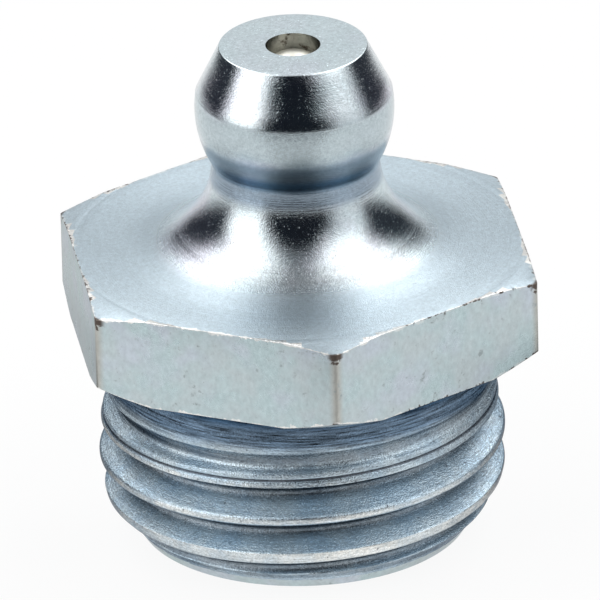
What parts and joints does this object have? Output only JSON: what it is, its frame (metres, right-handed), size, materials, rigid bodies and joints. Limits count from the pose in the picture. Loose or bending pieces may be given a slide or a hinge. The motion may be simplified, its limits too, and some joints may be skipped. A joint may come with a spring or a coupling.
{
  "type": "grease nipple",
  "caption": "Straight hexagon grease nipple with a conical coupling head, flared neck, pipe-thread shank and a sprung ball that closes its filling hole.",
  "frame": {"origin": "centre of the threaded end face, which the part stands on", "axes": "+Z along the axis towards the coupling head; a corner of the hexagon lies on the Y axis and two of its flats face +X and -X"},
  "size_m": [0.0142, 0.0166, 0.0167],
  "materials": {
    "zinc_plated_steel": "turned and bright zinc plated, faintly blue",
    "ball_steel": "ground and polished",
    "spring_wire": "drawn wire"
  },
  "bodies": {
    "body": {"nipple_body": "zinc_plated_steel", "ball_spring": "spring_wire"},
    "ball": {"check_ball": "ball_steel"}
  },
  "joints": [
    {"name": "ball_slide", "type": "slide", "parent": "body", "child": "ball", "axis": [0, 0, -1], "range_m": [0, 0.0012], "stiffness_N_per_m": 900, "deforming": ["ball_spring"]}
  ]
}
